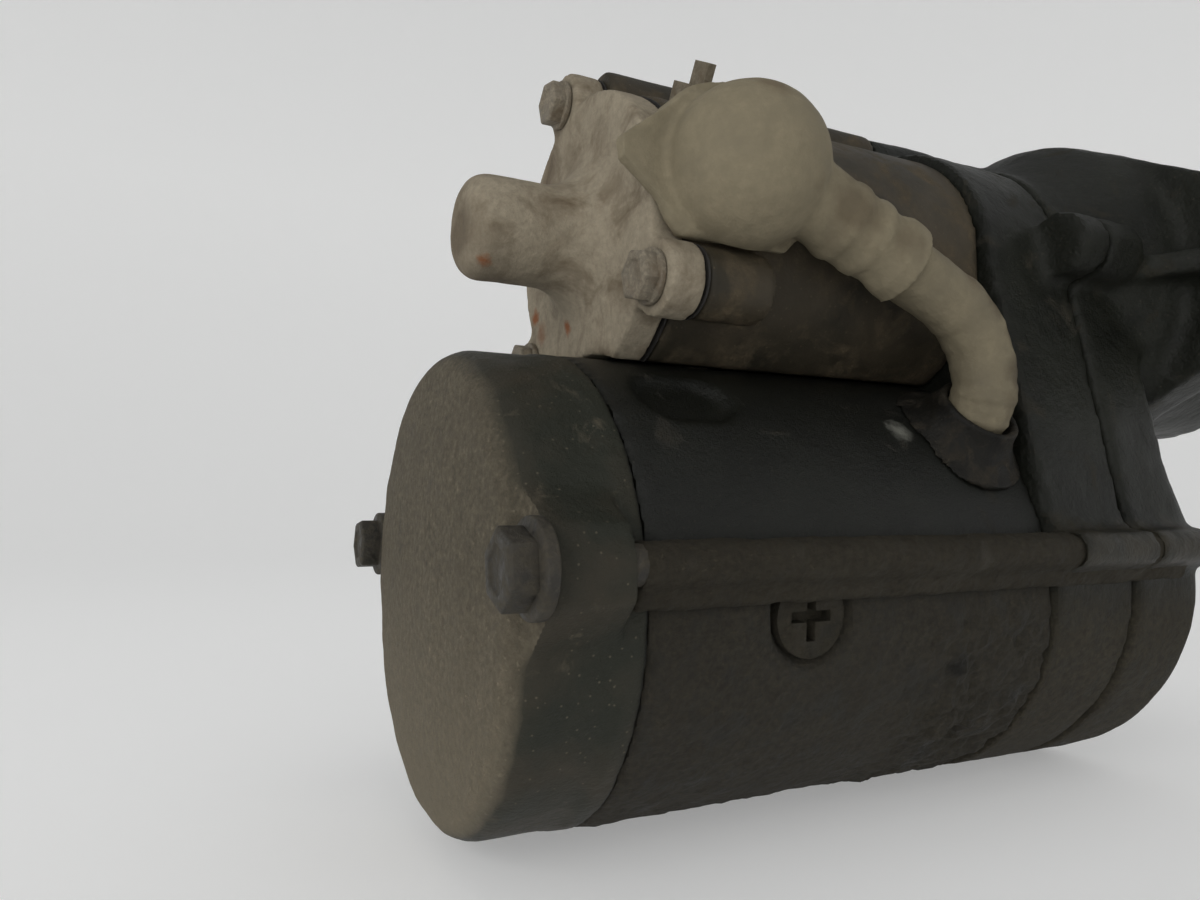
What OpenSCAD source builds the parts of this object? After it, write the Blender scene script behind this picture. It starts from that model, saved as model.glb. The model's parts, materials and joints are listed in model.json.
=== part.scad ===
// Offset gear-reduction starter motor with a magnetic switch beside the motor.
// Millimetres. +X runs along both shafts towards the drive pinion, +Z runs from
// the motor to the magnetic switch. The origin is the centre of the mounting
// spigot, on the face of the mounting flange. The drive pinion and the switch
// share the X axis; the motor lies below it.

/* [Layout] */
// distance from the motor axis to the pinion and switch axis
axis_gap = 67; // [67:0.5:68]
// length of the yoke tube
yoke_len = 88; // [84:1:90]
// outer radius of the yoke tube
yoke_r = 43; // [42.5:0.1:43.2]
// wall of the yoke tube
yoke_wall = 6; // [5:0.5:6]
// length of the motor rear cover
cover_len = 21.5; // [20:0.5:22]

/* [Fixings] */
// distance of the long motor bolts from the motor axis
rod_ring = 46.6; // [46.4:0.1:47]
// radius of the long motor bolts
rod_r = 3; // [2.5:0.1:3]
// turn of the bolt line above the horizontal, degrees
rod_turn = 7.6; // [4:0.2:10]
// distance of the switch bolts from the switch axis
tie_ring = 32.5; // [32:0.1:33]
// radius of the switch bolts
tie_r = 2.5; // [2:0.1:2.5]

/* [Switch] */
// outer radius of the switch housing
sol_r = 29.5; // [29:0.1:30]
// radius of the coil bore in the switch housing
sol_bore = 22; // [22:0.1:22.4]
// travel of the plunger and of the pinion
stroke = 12; // [10:0.5:12]
// length of the closed boss on the switch cover
boss_len = 24.5; // [23:0.5:30]
// radius of the closed boss on the switch cover
boss_r = 10; // [9.5:0.1:10.5]

/* [Gears] */
// module of the reduction gears
gear_m = 2; // [2:0.5:2]
// teeth of the armature pinion
arm_teeth = 9; // [9:1:9]
// teeth of the idler gear
idler_teeth = 17; // [17:1:17]
// teeth of the clutch gear
clutch_teeth = 24; // [24:1:24]
// module of the drive pinion
drive_m = 2.5; // [2.25:0.25:2.5]
// teeth of the drive pinion
drive_teeth = 11; // [10:1:11]

/* [Mounting] */
// radius of the mounting spigot
spigot_r = 37; // [36.5:0.5:38]
// distance between the two mounting holes
hole_gap = 120; // [118:1:124]
// radius of the mounting holes
hole_r = 5.5; // [5:0.25:6]
// thickness of the mounting flange
flange_t = 12; // [10:1:12]

/* [Hidden] */
$fn = 96;
zm = -axis_gap;                       // height of the motor axis
x_gf = -38;                           // joint of gear case and drive housing
x_gw = -52;                           // front face of the gear case wall
x_yf = -62;                           // front end of the yoke
x_yr = x_yf - yoke_len;               // rear end of the yoke
x_cr = x_yr - cover_len;              // rear face of the motor cover
x_sj = -134;                          // joint of switch housing and cover
x_sr = -141.5;                        // rear face of the switch cover lobes
x_seat = x_yr - 18.5;                 // seat of the long bolt heads
yoke_ir = yoke_r - yoke_wall;
pole_x = x_yr + 30;                   // middle of the pole pieces
screw_turn = -4.4;                    // first pole screw above the horizontal
tie_turns = [76, 206, 320];           // switch bolts, from +Y towards +Z
ridge_turn = 80;                      // long ridge on top of the castings
rib_r = 4.3;                          // ribs that hold the through bolts
dowel_ring = 36;                      // dowels between the castings
barrel_ring = 24.3;                   // screws of the switch housing
barrel_turns = [20, 90, 160];
z_idler = zm + gear_m * (arm_teeth + idler_teeth) / 2;
x_g0 = -50;                           // rear face of the gears
x_g1 = -38.5;                         // front face of the idler gear
x_term = -126;                        // terminals along X
z_term = 4.5;                         // terminals along Z
x_lead = -72.5;                       // where the lead enters the yoke
lead_turn = 42;                       // the same, above the horizontal
press = 25;                           // pressure angle of the teeth
eps = 1;                              // overshoot of cuts
run = 0.03;                           // running clearance on a radius

// ---- helpers ----
// extrude a (Y, Z) outline from x0 to x1
module ex(x0, x1) translate([x0, 0, 0]) rotate([90, 0, 90])
  linear_extrude(height = x1 - x0) children();
// turn a (radius, X) outline about a line along X at height z
module rev(z = 0) translate([0, 0, z]) rotate([0, 90, 0])
  rotate_extrude() children();
// a disc or ring in the (Y, Z) plane
module ring(ro, ri = 0, z = 0) translate([0, z]) difference() {
  circle(r = ro);
  if (ri > 0) circle(r = ri);
}
// place in the (Y, Z) plane at a radius and angle about height z
module at(r, a, z = 0) translate([0, z]) rotate(a) translate([r, 0]) children();
// tube along X
module tube(x0, x1, ro, ri = 0, z = 0) ex(x0, x1) ring(ro, ri, z);
// hexagon across flats
module hex(af) circle(r = af / 2 / cos(30), $fn = 6);
// cylinder between two points
module bar(a, b, r) {
  v = b - a;
  translate(a) rotate([0, acos(v[2] / norm(v)), atan2(v[1], v[0])])
    cylinder(h = norm(v), r = r);
}
// gear outline with a tooth on the first axis
function pol(r, a) = [r * cos(a), r * sin(a)];
function inv(a) = tan(a) * 180 / PI - a;
function half(r, rp, rb, z) = 90 / z - 0.06 / rp * 180 / PI + inv(press)
  - inv(acos(min(1, rb / r)));
module gear(z, m) {
  rp = m * z / 2;
  rb = rp * cos(press);
  ra = rp + 0.8 * m;
  rr = rp - 1.1 * m;
  rs = max(rb, rr + 0.05);
  steps = 4;
  polygon([for (i = [0:z - 1]) each concat(
    [pol(rr, i * 360 / z - half(rs, rp, rb, z))],
    [for (k = [0:steps]) let (r = rs + (ra - rs) * k / steps)
      pol(r, i * 360 / z - half(r, rp, rb, z))],
    [for (k = [steps:-1:0]) let (r = rs + (ra - rs) * k / steps)
      pol(r, i * 360 / z + half(r, rp, rb, z))],
    [pol(rr, i * 360 / z + half(rs, rp, rb, z))])]);
}
// coil spring drawn as closed rings between two X stations
module rings(x0, x1, r, w, n) for (i = [0:n - 1])
  rev() translate([r, x0 + w + (x1 - x0 - 2 * w) * i / (n - 1)]) circle(r = w);
// ball bearing: two races and a ring of balls
module bearing(x0, x1, ro, ri, z, n) {
  rm = (ro + ri) / 2;
  rw = (ro - ri) * 0.29;
  xm = (x0 + x1) / 2;
  rev(z) difference() {
    translate([ro - (ro - ri) * 0.27, x0]) square([(ro - ri) * 0.27, x1 - x0]);
    translate([rm, xm]) circle(r = rw + 0.02);
  }
  rev(z) difference() {
    translate([ri, x0]) square([(ro - ri) * 0.27, x1 - x0]);
    translate([rm, xm]) circle(r = rw + 0.02);
  }
  for (i = [0:n - 1]) translate([xm, rm * cos(i * 360 / n), z + rm * sin(i * 360 / n)])
    sphere(r = rw);
}
// outline round the motor and the switch axes, joined by their tangents
module two(rm, rs) {
  b = asin((rm - rs) / axis_gap);
  translate([0, zm]) circle(r = rm);
  circle(r = rs);
  polygon([[rm * cos(b), zm + rm * sin(b)], [rs * cos(b), rs * sin(b)],
    [-rs * cos(b), rs * sin(b)], [-rm * cos(b), zm + rm * sin(b)]]);
}
module lobes(r) for (a = tie_turns) at(tie_ring, a) circle(r = r);
module webs(w) for (a = tie_turns) at(0, a) translate([0, -w / 2]) square([tie_ring, w]);
// the long ridge on top of the castings
module ridge() at(0, ridge_turn) { translate([tie_ring + 1, 0]) circle(r = 6.5);
  translate([0, -6]) square([tie_ring, 12]); }
// switch outline: round body with three bolt lobes, hollowed to sit over the yoke
module switch_outline(r, lobe, gap) difference() {
  union() { circle(r = r); lobes(lobe); webs(2 * lobe - 1); }
  translate([0, zm]) circle(r = yoke_r + gap);
}
module blade_at() translate([x_term + 2, 0, 0]) rotate([-58, 0, 0]) rotate([90, 0, 0]) children();
module terminal_at(side) translate([x_term, 0, z_term]) rotate([side * 90, 0, 0]) children();

// ---- motor ----
module rear_cover() {
  round_r = 6; wall = 4; dome = 2; lug_r = 7;
  color([0.22, 0.21, 0.19]) difference() {
    union() {
      rev(zm) {
        translate([0, x_cr]) square([yoke_r - 0.2 - round_r, cover_len]);
        translate([0, x_cr + round_r]) square([yoke_r - 0.2, cover_len - round_r]);
        translate([yoke_r - 0.2 - round_r, x_cr + round_r]) intersection() {
          circle(r = round_r);
          translate([-2 * round_r, -2 * round_r]) square([4 * round_r, 2 * round_r]);
        }
        translate([0, x_yr - 4]) square([yoke_r + 0.3, 4]);
        polygon([[0, x_cr - dome], [12, x_cr - 0.93 * dome], [24, x_cr - 0.65 * dome],
          [yoke_r - round_r - 0.2, x_cr], [0, x_cr + eps]]);
      }
      for (a = [180 - rod_turn, -rod_turn]) ex(x_seat, x_yr - 5) {
        at(rod_ring - 3, a, zm) circle(r = lug_r);
        at(0, a, zm) polygon([[38, -14], [49.6, -5.4], [49.6, 5.4], [38, 14]]);
      }
    }
    tube(x_cr + wall, x_yr + eps, yoke_r - 4.2, 13.5, zm);
    tube(-160.5, x_yr + eps, 20, 0, zm);
    tube(-167.5, x_yr, 11.01, 0, zm);
    for (a = [180 - rod_turn, -rod_turn]) {
      ex(x_cr - 5, x_seat) at(rod_ring, a, zm) circle(r = 7.8);
      ex(x_cr - 5, x_yr + eps) at(rod_ring, a, zm) circle(r = rod_r + 0.1);
    }
  }
}
module through_bolts() color([0.3, 0.29, 0.27])
  for (a = [180 - rod_turn, -rod_turn]) {
    ex(x_seat, -22) at(rod_ring, a, zm) circle(r = rod_r);
    ex(x_seat - 1.4, x_seat) at(rod_ring, a, zm) circle(r = 7.1);
    ex(x_seat - 6.4, x_seat - 1.4) at(rod_ring, a, zm) rotate(15) hex(10);
  }
module yoke() color([0.14, 0.14, 0.14]) difference() {
  tube(x_yr, x_yf, yoke_r, yoke_ir, zm);
  for (a = [0:3]) translate([pole_x, 0, zm]) rotate([-screw_turn - 90 * a, 0, 0]) rotate([90, 0, 0]) {
    translate([0, 0, yoke_r - 3]) cylinder(h = 5, r = 8);
    cylinder(h = yoke_r + eps, r = 4.1);
  }
  translate([x_yr + 16.3, 0, zm]) rotate([-51.4, 0, 0]) rotate([90, 0, 0])
    translate([0, 0, yoke_r - 2.2]) for (s = [-2.5, 2.5]) translate([s, 0, 0]) cylinder(h = 5, r = 7);
  translate([x_lead, 0, zm]) rotate([-lead_turn, 0, 0]) rotate([90, 0, 0])
    translate([0, 0, yoke_ir - 5]) cylinder(h = 20, r = 7.4);
}
module pole_arc(r0, r1, a) intersection() {
  ring(r1, r0);
  polygon([[0, 0], pol(60, -a), pol(60, a)]);
}
module pole_cores() color([0.4, 0.4, 0.42]) for (a = [0:3]) difference() {
  ex(pole_x - 22, pole_x + 22) translate([0, zm]) rotate(180 - screw_turn + 90 * a) {
    pole_arc(30.3, yoke_ir - 0.05, 15);
    pole_arc(30.3, 32.3, 27);
  }
  translate([pole_x, 0, zm]) rotate([90 * a - screw_turn, 0, 0]) rotate([90, 0, 0])
    translate([0, 0, 20]) cylinder(h = 20, r = 4.05);
}
module pole_screws() color([0.3, 0.29, 0.28]) for (a = [0:3])
  translate([pole_x, 0, zm]) rotate([-screw_turn - 90 * a, 0, 0]) rotate([90, 0, 0]) difference() {
    union() {
      translate([0, 0, 31.5]) cylinder(h = yoke_r - 3 - 31.5, r = 4);
      translate([0, 0, yoke_r - 3]) cylinder(h = 2.6, r = 6.8);
    }
    for (t = [0, 90]) rotate(t) translate([-4, -0.9, yoke_r - 2.6]) cube([8, 1.8, 3]);
  }
module field_coils() color([0.55, 0.28, 0.16]) for (a = [0:3]) difference() {
  ex(pole_x - 25.5, pole_x + 25.5) translate([0, zm]) rotate(180 - screw_turn + 90 * a)
    pole_arc(32.7, yoke_ir - 0.4, 29);
  ex(pole_x - 22.4, pole_x + 22.4) translate([0, zm]) rotate(180 - screw_turn + 90 * a)
    pole_arc(30, yoke_ir + 1, 16);
}
module brush_holder() {
  plate_x = x_yr + 2.5;
  color([0.55, 0.53, 0.48]) difference() {
    union() {
      tube(plate_x, plate_x + 1.5, yoke_r - 6.2, 17.6, zm);
      for (a = [45:90:315]) ex(plate_x - 11, plate_x) at(0, a, zm)
        translate([18, -6]) square([13, 12]);
    }
    for (a = [45:90:315]) ex(plate_x - 10, plate_x - 0.5) at(0, a, zm)
      translate([15, -4.6]) square([20, 9.2]);
  }
}
module brushes() color([0.2, 0.19, 0.19]) for (a = [45:90:315])
  intersection() {
    ex(x_yr - 7.2, x_yr + 1.7) at(0, a, zm) translate([14, -4.4]) square([13, 8.8]);
    tube(x_yr - 8, x_yr + 3, 27, 15.1, zm);
  }
module brush_springs() color([0.5, 0.5, 0.5]) for (a = [45:90:315])
  translate([x_yr - 2.75, 0, zm]) rotate([a, 0, 0]) rotate([-90, 0, 0])
    for (i = [0:3]) translate([0, 0, 28.1 + i * 2.1]) rotate_extrude()
      translate([3, 0]) circle(r = 0.6);
module rear_bearing() color([0.6, 0.6, 0.62]) bearing(-167.4, -160.6, 11, 4, zm, 7);
module armature_shaft() color([0.58, 0.58, 0.6]) {
  tube(-166.8, -160, 4 - run, 0, zm);
  tube(-160, -146, 7, 0, zm);
  tube(-146, -90, 8, 0, zm);
  tube(-90, x_g0 - 1, 7.5 - run, 0, zm);
  ex(x_g0 - 1, -36) translate([0, zm]) rotate(90) gear(arm_teeth, gear_m);
}
module armature_core() color([0.35, 0.34, 0.33]) ex(pole_x - 21.5, pole_x + 21.5) translate([0, zm])
  difference() {
    ring(29.6, 8);
    for (i = [0:20]) rotate(i * 360 / 21) translate([20, -1.3]) square([12, 2.6]);
  }
module armature_winding() color([0.6, 0.3, 0.15]) {
  ex(pole_x - 21.5, pole_x + 21.5) for (i = [0:20])
    at(0, i * 360 / 21, zm) translate([20.4, -1.2]) square([8, 2.4]);
  tube(-145.6, pole_x - 21.5, 28.4, 16.8, zm);
  tube(pole_x + 21.5, -91, 28.4, 12, zm);
}
module commutator() color([0.7, 0.4, 0.22]) ex(-159.5, -146) translate([0, zm]) difference() {
  ring(15, 7);
  for (i = [0:20]) rotate(i * 360 / 21) translate([13.6, -0.35]) square([3, 0.7]);
}
module front_bearing() color([0.6, 0.6, 0.62]) bearing(-61, -52, 17.5, 7.5, zm, 8);

// ---- castings ----
module rod_lugs(x0, x1, r) for (a = [180 - rod_turn, -rod_turn]) ex(x0, x1) {
  at(rod_ring, a, zm) circle(r = r);
  at(0, a, zm) translate([36, -r]) square([rod_ring - 36, 2 * r]);
}
module gear_case() color([0.2, 0.195, 0.19]) difference() {
  union() {
    ex(x_yf, x_gf) two(yoke_r + 1.5, 31.5);
    ex(x_yf, x_gf) ridge();
    rod_lugs(x_yf, x_gf, rib_r);
    ex(x_gf - 9, x_gf) for (s = [-1, 1]) at(dowel_ring, 90 + s * 85) circle(r = 7);
    tube(x_yf - 3, x_yf, yoke_ir - 0.05, 24, zm);
  }
  ex(x_gw, x_gf + eps) two(40, 27.5);
  tube(x_yf + 1, x_gf, 17.51, 0, zm);
  tube(x_yf - 5, x_yf + 2, 14, 0, zm);
  tube(x_yf - eps, x_gw + 1, 20.01);
  tube(x_yf + 1, x_gw + eps, 5.01, 0, z_idler);
  for (a = [180 - rod_turn, -rod_turn]) ex(x_yf - 5, x_gf + eps) at(rod_ring, a, zm) circle(r = rod_r + 0.2);
  ex(x_gf - 8, x_gf + eps) for (s = [-1, 1]) at(dowel_ring, 90 + s * 85) circle(r = 3.05);
  ex(x_yf - eps, x_gw + eps) for (a = barrel_turns) at(barrel_ring, a) circle(r = 2);
  ex(x_gw - 3, x_gw + eps) for (a = barrel_turns) at(barrel_ring, a) circle(r = 3.15);
}
module drive_housing() {
  slab_x = -14; nose_x = 50; nose_r = 33; soft = 5;
  color([0.24, 0.235, 0.22]) difference() {
    union() {
      ex(x_gf, slab_x - soft) two(yoke_r + 2, 32);
      ex(slab_x - soft, slab_x) two(yoke_r + 2 - soft, 32 - 1);
      rev(zm) translate([yoke_r + 2 - soft, slab_x - soft]) intersection() {
        circle(r = soft);
        square(soft);
      }
      ex(x_gf, -flange_t + 2) ridge();
      rod_lugs(x_gf, -17, rib_r);
      for (s = [-1, 1]) ex(x_gf, x_gf + 12) at(dowel_ring, 90 + s * 85) circle(r = 7);
      // swelling behind the flange
      rev() polygon([[20, -30], [31.5, -30], [41.5, -15], [42, -flange_t], [20, -flange_t]]);
      ex(-flange_t, 0) {
        circle(r = 42);
        for (s = [-1, 1]) {
          translate([s * hole_gap / 2, 0]) circle(r = 13);
          polygon([[s * 20, 36.9], [s * (hole_gap / 2 + 3), 12.6],
            [s * (hole_gap / 2 + 3), -12.6], [s * 20, -36.9]]);
        }
      }
      // webs from the swelling to the ears
      for (s = [-1, 1]) mirror([0, s > 0 ? 0 : 1, 0]) translate([0, 0, -3]) linear_extrude(height = 6)
        polygon([[-30, 28], [-flange_t - 3, 58], [-flange_t + 1, 60], [-flange_t + 1, 28]]);
      tube(-1, 6, spigot_r);
      tube(5, nose_x, nose_r);
      rev() translate([0, nose_x]) square([nose_r - 6, 2]);
    }
    difference() {
      ex(x_gf - eps, -22) two(40, 27.5);
      // the idler pin boss is left standing
      tube(-24, -21, 8, 0, z_idler);
    }
    tube(-23, -8, 23.51);
    tube(-9, 46, 21);
    tube(2, 46, 28.5);
    tube(45, nose_x + 5, 9);
    tube(-30, -14, 5.01, 0, z_idler);
    translate([20, -30, 0]) cube([23, 60, 60]);
    ex(-flange_t - 20, eps) for (s = [-1, 1]) translate([s * hole_gap / 2, 0]) circle(r = hole_r);
    for (a = [180 - rod_turn, -rod_turn]) ex(x_gf - eps, -20) at(rod_ring, a, zm) circle(r = rod_r + 0.05);
    for (s = [-1, 1]) ex(x_gf - eps, x_gf + 8) at(dowel_ring, 90 + s * 85) circle(r = 3.05);
  }
}
module housing_dowels() color([0.5, 0.5, 0.5]) for (s = [-1, 1])
  ex(x_gf - 7.5, x_gf + 7.5) at(dowel_ring, 90 + s * 85) circle(r = 3);
module barrel_screws() color([0.5, 0.5, 0.5]) for (a = barrel_turns) difference() {
  union() {
    ex(x_yf - 10, x_gw - 3) at(barrel_ring, a) circle(r = 1.95);
    ex(x_gw - 3, x_gw - 0.1) at(barrel_ring, a) circle(r = 3);
  }
  ex(x_gw - 2, x_gw) at(barrel_ring, a) circle(r = 1.7, $fn = 6);
}

// ---- reduction gears and clutch ----
module idler_pin() color([0.62, 0.62, 0.64]) tube(x_yf + 1.2, -15, 5, 0, z_idler);
module idler_bush() color([0.66, 0.55, 0.3]) tube(x_g0, x_g1, 7.5, 5 + run, z_idler);
module idler_gear() color([0.5, 0.5, 0.52]) ex(x_g0, x_g1) translate([0, z_idler]) difference() {
  rotate(270 + 180 / idler_teeth) gear(idler_teeth, gear_m);
  circle(r = 7.5 + run);
}
module clutch_rear_bearing() color([0.6, 0.6, 0.62]) bearing(-61.8, -52.8, 20, 12.5, 0, 10);
module clutch_front_bearing() color([0.6, 0.6, 0.62]) bearing(-20.5, -9, 23.5, 12.5, 0, 9);
module clutch_outer() color([0.48, 0.48, 0.5]) difference() {
  union() {
    tube(-61.5, x_g0, 12.5 - run);
    ex(x_g0, x_gf) rotate(270 + 180 / clutch_teeth) gear(clutch_teeth, gear_m);
    tube(x_gf - 0.3, -24, 24);
  }
  tube(-62, -24, 8);
  tube(x_g0, -23, 10.4);
  tube(-40, -23, 20);
}
module clutch_rollers() color([0.68, 0.68, 0.7]) for (i = [0:5])
  ex(-38.5, -25.5) at(17.5, i * 60) circle(r = 2.42);
module clutch_cap() color([0.52, 0.5, 0.45]) {
  tube(-23.9, -22.7, 24, 15.4);
}
module clutch_inner() color([0.5, 0.5, 0.53]) difference() {
  union() { tube(-39.5, -24.5, 15); tube(-24.5, -6, 12.5 - run); }
  tube(-40, -18, 10.1);
  tube(-19, -5, 7.1);
}
module pinion_shaft() color([0.6, 0.6, 0.62]) difference() {
  union() { tube(-47, -42, 10); tube(-42, 30, 7); }
  translate([-51.2, 0, 0]) sphere(r = 4.45);
  rev() translate([7, 27.5]) circle(r = 0.6);
}
module drive_pinion() color([0.56, 0.56, 0.58]) difference() {
  union() {
    ex(9, 26) gear(drive_teeth, drive_m);
    tube(4, 9, 11);
  }
  tube(3, 28, 7.01);
}
module pinion_stop() color([0.4, 0.4, 0.4]) {
  tube(26.05, 28.6, 9.2, 7.02);
}
module pinion_spring() color([0.5, 0.5, 0.52]) rings(-41.9, -18.1, 8.6, 0.7, 9);
module push_ball() color([0.7, 0.7, 0.72]) translate([-51.2, 0, 0]) sphere(r = 4.4);

// ---- magnetic switch ----
module switch_housing() color([0.16, 0.15, 0.14]) difference() {
  union() {
    ex(x_sj, x_yf - 0.05) difference() {
      union() { circle(r = sol_r); ridge(); }
      translate([0, zm]) circle(r = yoke_r + 0.5);
    }
    ex(x_sj, x_sj + 14) switch_outline(sol_r, 6.5, 0.5);
    for (s = [-1, 1]) terminal_at(s) cylinder(h = 31, r = 11.5);
  }
  tube(x_sj - eps, x_yf + eps, sol_bore);
  ex(x_sj - eps, x_sj + 12) lobes(tie_r + 0.05);
  ex(x_yf - 12, x_yf) for (a = barrel_turns) at(barrel_ring, a) circle(r = 2);
  for (s = [-1, 1]) terminal_at(s) cylinder(h = 40, r = 7);
  blade_at() translate([0, 0, sol_r - 0.5]) cylinder(h = 10, r = 5.05);
  translate([x_term - 8, -40, z_term - 20]) mirror([1, 0, 0]) cube([20, 80, 40]);
}
module switch_cover() {
  fillet = 9; end_r = 4.5;
  color([0.62, 0.59, 0.54]) difference() {
    union() {
      ex(x_sr, x_sj - 0.5) switch_outline(sol_r - 0.5, 6.8, 0.6);
      rev() difference() {
        translate([0, x_sr - fillet]) square([boss_r + fillet, fillet + eps]);
        translate([boss_r + fillet, x_sr - fillet]) circle(r = fillet);
      }
      rev() {
        translate([0, x_sr - boss_len + end_r]) square([boss_r, boss_len - end_r]);
        translate([0, x_sr - boss_len]) square([boss_r - end_r, boss_len]);
        translate([boss_r - end_r, x_sr - boss_len + end_r]) intersection() {
          circle(r = end_r);
          translate([-end_r, -end_r]) square([2 * end_r, end_r]);
        }
      }
    }
    tube(x_sr - boss_len + 4.5, x_sj, 6.2);
    tube(x_sr + 3.5, x_sj, 21.5);
    ex(x_sr - eps, x_sj) lobes(tie_r + 0.2);
  }
}
module cover_gasket() color([0.12, 0.12, 0.11]) ex(x_sj - 0.45, x_sj - 0.05) difference() {
  switch_outline(sol_r - 0.5, 6.5, 0.6);
  circle(r = sol_bore);
  lobes(tie_r + 0.2);
}
module switch_bolts() color([0.55, 0.53, 0.49]) for (a = tie_turns) {
  ex(x_sr, x_sj + 11) at(tie_ring, a) circle(r = tie_r);
  ex(x_sr - 4, x_sr) at(tie_ring, a) rotate(10) hex(8);
}
module coil_bobbin() color([0.3, 0.22, 0.15]) {
  tube(-112, -68, 13, 12.2);
  tube(-112, -110.5, 21.8, 12.2);
  tube(-69.5, -68, 21.8, 12.2);
}
module switch_coil() color([0.62, 0.32, 0.16]) tube(-110.4, -69.6, 21, 13.05);
module fixed_core() color([0.45, 0.45, 0.46]) difference() {
  union() { tube(-82, -67.9, 12.1); tube(-67.9, -62.1, 21.9); }
  tube(-83, -61, 4);
}
module plunger() color([0.55, 0.55, 0.56]) difference() {
  union() { tube(-113.2, -82 - stroke - 1, 12.1); tube(-152, -113.2, 3); }
  tube(-105, -90, 8);
}
module push_rod() color([0.66, 0.66, 0.68]) tube(-104.95, -55.65, 3.8);
module plunger_spring() color([0.5, 0.5, 0.52]) rings(-104.9, -82.1, 6.2, 0.8, 9);
module contact_disc() color([0.72, 0.42, 0.24]) tube(-131, -129, 15, 3.05);
module contact_washers() color([0.25, 0.16, 0.1]) {
  tube(-133, -131.05, 7.5, 3.05);
  tube(-128.95, -113.3, 6, 3.05);
}
module contact_spring() color([0.5, 0.5, 0.52]) rings(-141, -133.1, 4.3, 0.6, 5);
module fixed_contacts() color([0.72, 0.42, 0.24]) for (s = [-1, 1]) mirror([0, s > 0 ? 0 : 1, 0]) {
  translate([-131 + stroke + 2.3, 9, -3]) cube([3, 8, 9]);
  difference() {
    translate([-132, 17, -3]) cube([18.3, 2.5, 12]);
    terminal_at(-1) cylinder(h = 30, r = 4.05);
  }
}
module contact_base() color([0.2, 0.13, 0.09]) tube(-113.6, -112.1, 21.8, 12.3);
module terminal_insulators() color([0.16, 0.12, 0.1]) for (s = [-1, 1]) terminal_at(s) {
  difference() {
    union() {
      translate([0, 0, 19.6]) cylinder(h = 12, r = 6.9);
      translate([0, 0, 31.05]) cylinder(h = 3, r = 9.5);
    }
    cylinder(h = 50, r = 4.05);
  }
}
module stud(side, top) terminal_at(side) {
  translate([0, 0, 15.4]) cylinder(h = 1.55, r = 5.5);
  translate([0, 0, 16.9]) cylinder(h = top - 16.9, r = 3.8);
}
module motor_stud() color([0.68, 0.5, 0.3]) stud(1, 45);
module battery_stud() color([0.68, 0.5, 0.3]) {
  stud(-1, 41);
  terminal_at(-1) translate([0, 0, 40.1]) cylinder(h = 11.9, r = 4);
}
module terminal_nuts() color([0.62, 0.6, 0.56]) for (s = [-1, 1]) terminal_at(s)
  translate([0, 0, s > 0 ? 36.1 : 34.1]) difference() {
    cylinder(h = 6, r = 7.5, $fn = 6);
    translate([0, 0, -eps]) cylinder(h = 10, r = 4.02);
  }
// blade terminal of the pull-in coil, on the upper near side of the switch
module trigger_terminal() color([0.6, 0.57, 0.5])
  blade_at() {
    translate([0, 0, sol_r - 0.4]) cylinder(h = 4, r = 5);
    translate([-0.8, -2.8, sol_r + 3.5]) cube([1.6, 5.6, 4.5]);
  }

// ---- lead from the switch to the yoke ----
lead_out = [0, -cos(lead_turn), sin(lead_turn)];
lead_y = -38;                         // plane of the lead's bend
neck_a = [-121, lead_y, 3.3];         // start of the boot's neck
neck_b = [-95, lead_y, -8];          // end of the boot's neck
neck_d = (neck_b - neck_a) / norm(neck_b - neck_a);
fall = acos(neck_d[0]);               // slope of the neck
bend = 17;                            // first bend of the lead, downwards
bend_x = x_lead - bend;
run_out = (bend_x + bend * sin(fall) - neck_b[0]) / neck_d[0];
bend_from = neck_b + neck_d * run_out;
bend_z = bend_from[2] - bend * cos(fall);
tuck = 90 - lead_turn;                // second bend, into the yoke
bend_2 = (bend_z - zm + lead_y / tan(tuck)) * sin(tuck) / (1 - cos(tuck));
lead_in = [x_lead, lead_y + bend_2 * (1 - cos(tuck)), bend_z - bend_2 * sin(tuck)];
// points of the lead's route, from before the neck's end to a depth in the yoke
function route(back, depth) = concat([neck_b - neck_d * back],
  [for (k = [0:8]) let (a = (90 - fall) * (1 - k / 8))
    [bend_x + bend * cos(a), lead_y, bend_z + bend * sin(a)]],
  [for (k = [1:7]) let (a = tuck * k / 7)
    [x_lead, lead_y + bend_2 * (1 - cos(a)), bend_z - bend_2 * sin(a)]],
  [lead_in - lead_out * depth]);
function unit(v) = v / norm(v);
// circle of points round a route's point, square to the route
function hoop(p, i, r, n) = let (
  t = unit(p[min(i + 1, len(p) - 1)] - p[max(i - 1, 0)]),
  u = unit(cross(t, [0.4, 1, 0])), v = cross(t, u))
  [for (k = [0:n - 1]) p[i] + r * (u * cos(360 * k / n) + v * sin(360 * k / n))];
// swept round rod, or a tube with an inner radius
module sweep(p, r, ri = 0, n = 24) {
  m = len(p);
  outer = [for (i = [0:m - 1]) each hoop(p, i, r, n)];
  inner = [for (i = [0:m - 1]) each hoop(p, i, ri, n)];
  skin = [for (i = [0:m - 2], k = [0:n - 1])
    [i * n + k, i * n + (k + 1) % n, (i + 1) * n + (k + 1) % n, (i + 1) * n + k]];
  if (ri == 0) polyhedron(outer, concat(skin,
    [[for (k = [n - 1:-1:0]) k]], [[for (k = [0:n - 1]) (m - 1) * n + k]]));
  else polyhedron(concat(outer, inner), concat(skin,
    [for (f = skin) [for (k = [3:-1:0]) f[k] + m * n]],
    [for (k = [0:n - 1]) [(k + 1) % n, k, m * n + k, m * n + (k + 1) % n]],
    [for (k = [0:n - 1]) [(m - 1) * n + k, (m - 1) * n + (k + 1) % n,
      (2 * m - 1) * n + (k + 1) % n, (2 * m - 1) * n + k]]));
}
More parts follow.
